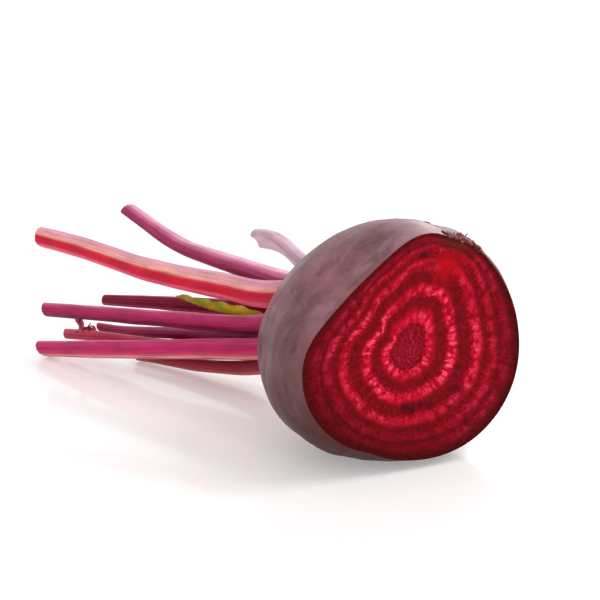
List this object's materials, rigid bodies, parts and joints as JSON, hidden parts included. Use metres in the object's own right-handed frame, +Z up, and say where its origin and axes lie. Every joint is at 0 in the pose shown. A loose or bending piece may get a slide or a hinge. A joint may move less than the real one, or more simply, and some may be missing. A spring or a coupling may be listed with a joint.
{
  "type": "beetroot",
  "caption": "Whole beetroot lying on its side, with the root end sliced off to show ringed flesh, and a fan of trimmed leaf stalks behind.",
  "frame": {"origin": "middle of the small flat spot under the root that it rests on", "axes": "+X the way the cut face looks, with the leaf stalks running back towards -X; +Y to the right of the cut face; +Z up"},
  "size_m": [0.1695, 0.1233, 0.076],
  "materials": {
    "skin_and_flesh": "dull skin, moist cut face",
    "stalk_red": "satin",
    "stalk_magenta": "satin",
    "stalk_pale": "satin",
    "stalk_dark": "satin",
    "stalk_low": "satin",
    "leaf_green": "satin"
  },
  "bodies": {
    "root": {"beet_root": "skin_and_flesh", "stalk_1_upper_near": "stalk_red", "stalk_2_upper_far": "stalk_magenta", "stalk_3_back": "stalk_pale", "stalk_4_middle_near": "stalk_magenta", "stalk_5_middle_far": "stalk_dark", "stalk_6_low_far": "stalk_dark", "stalk_7_low_near": "stalk_red", "stalk_8_under": "stalk_low", "stalk_9_low_middle": "stalk_low", "young_leaf": "leaf_green"}
  },
  "joints": []
}
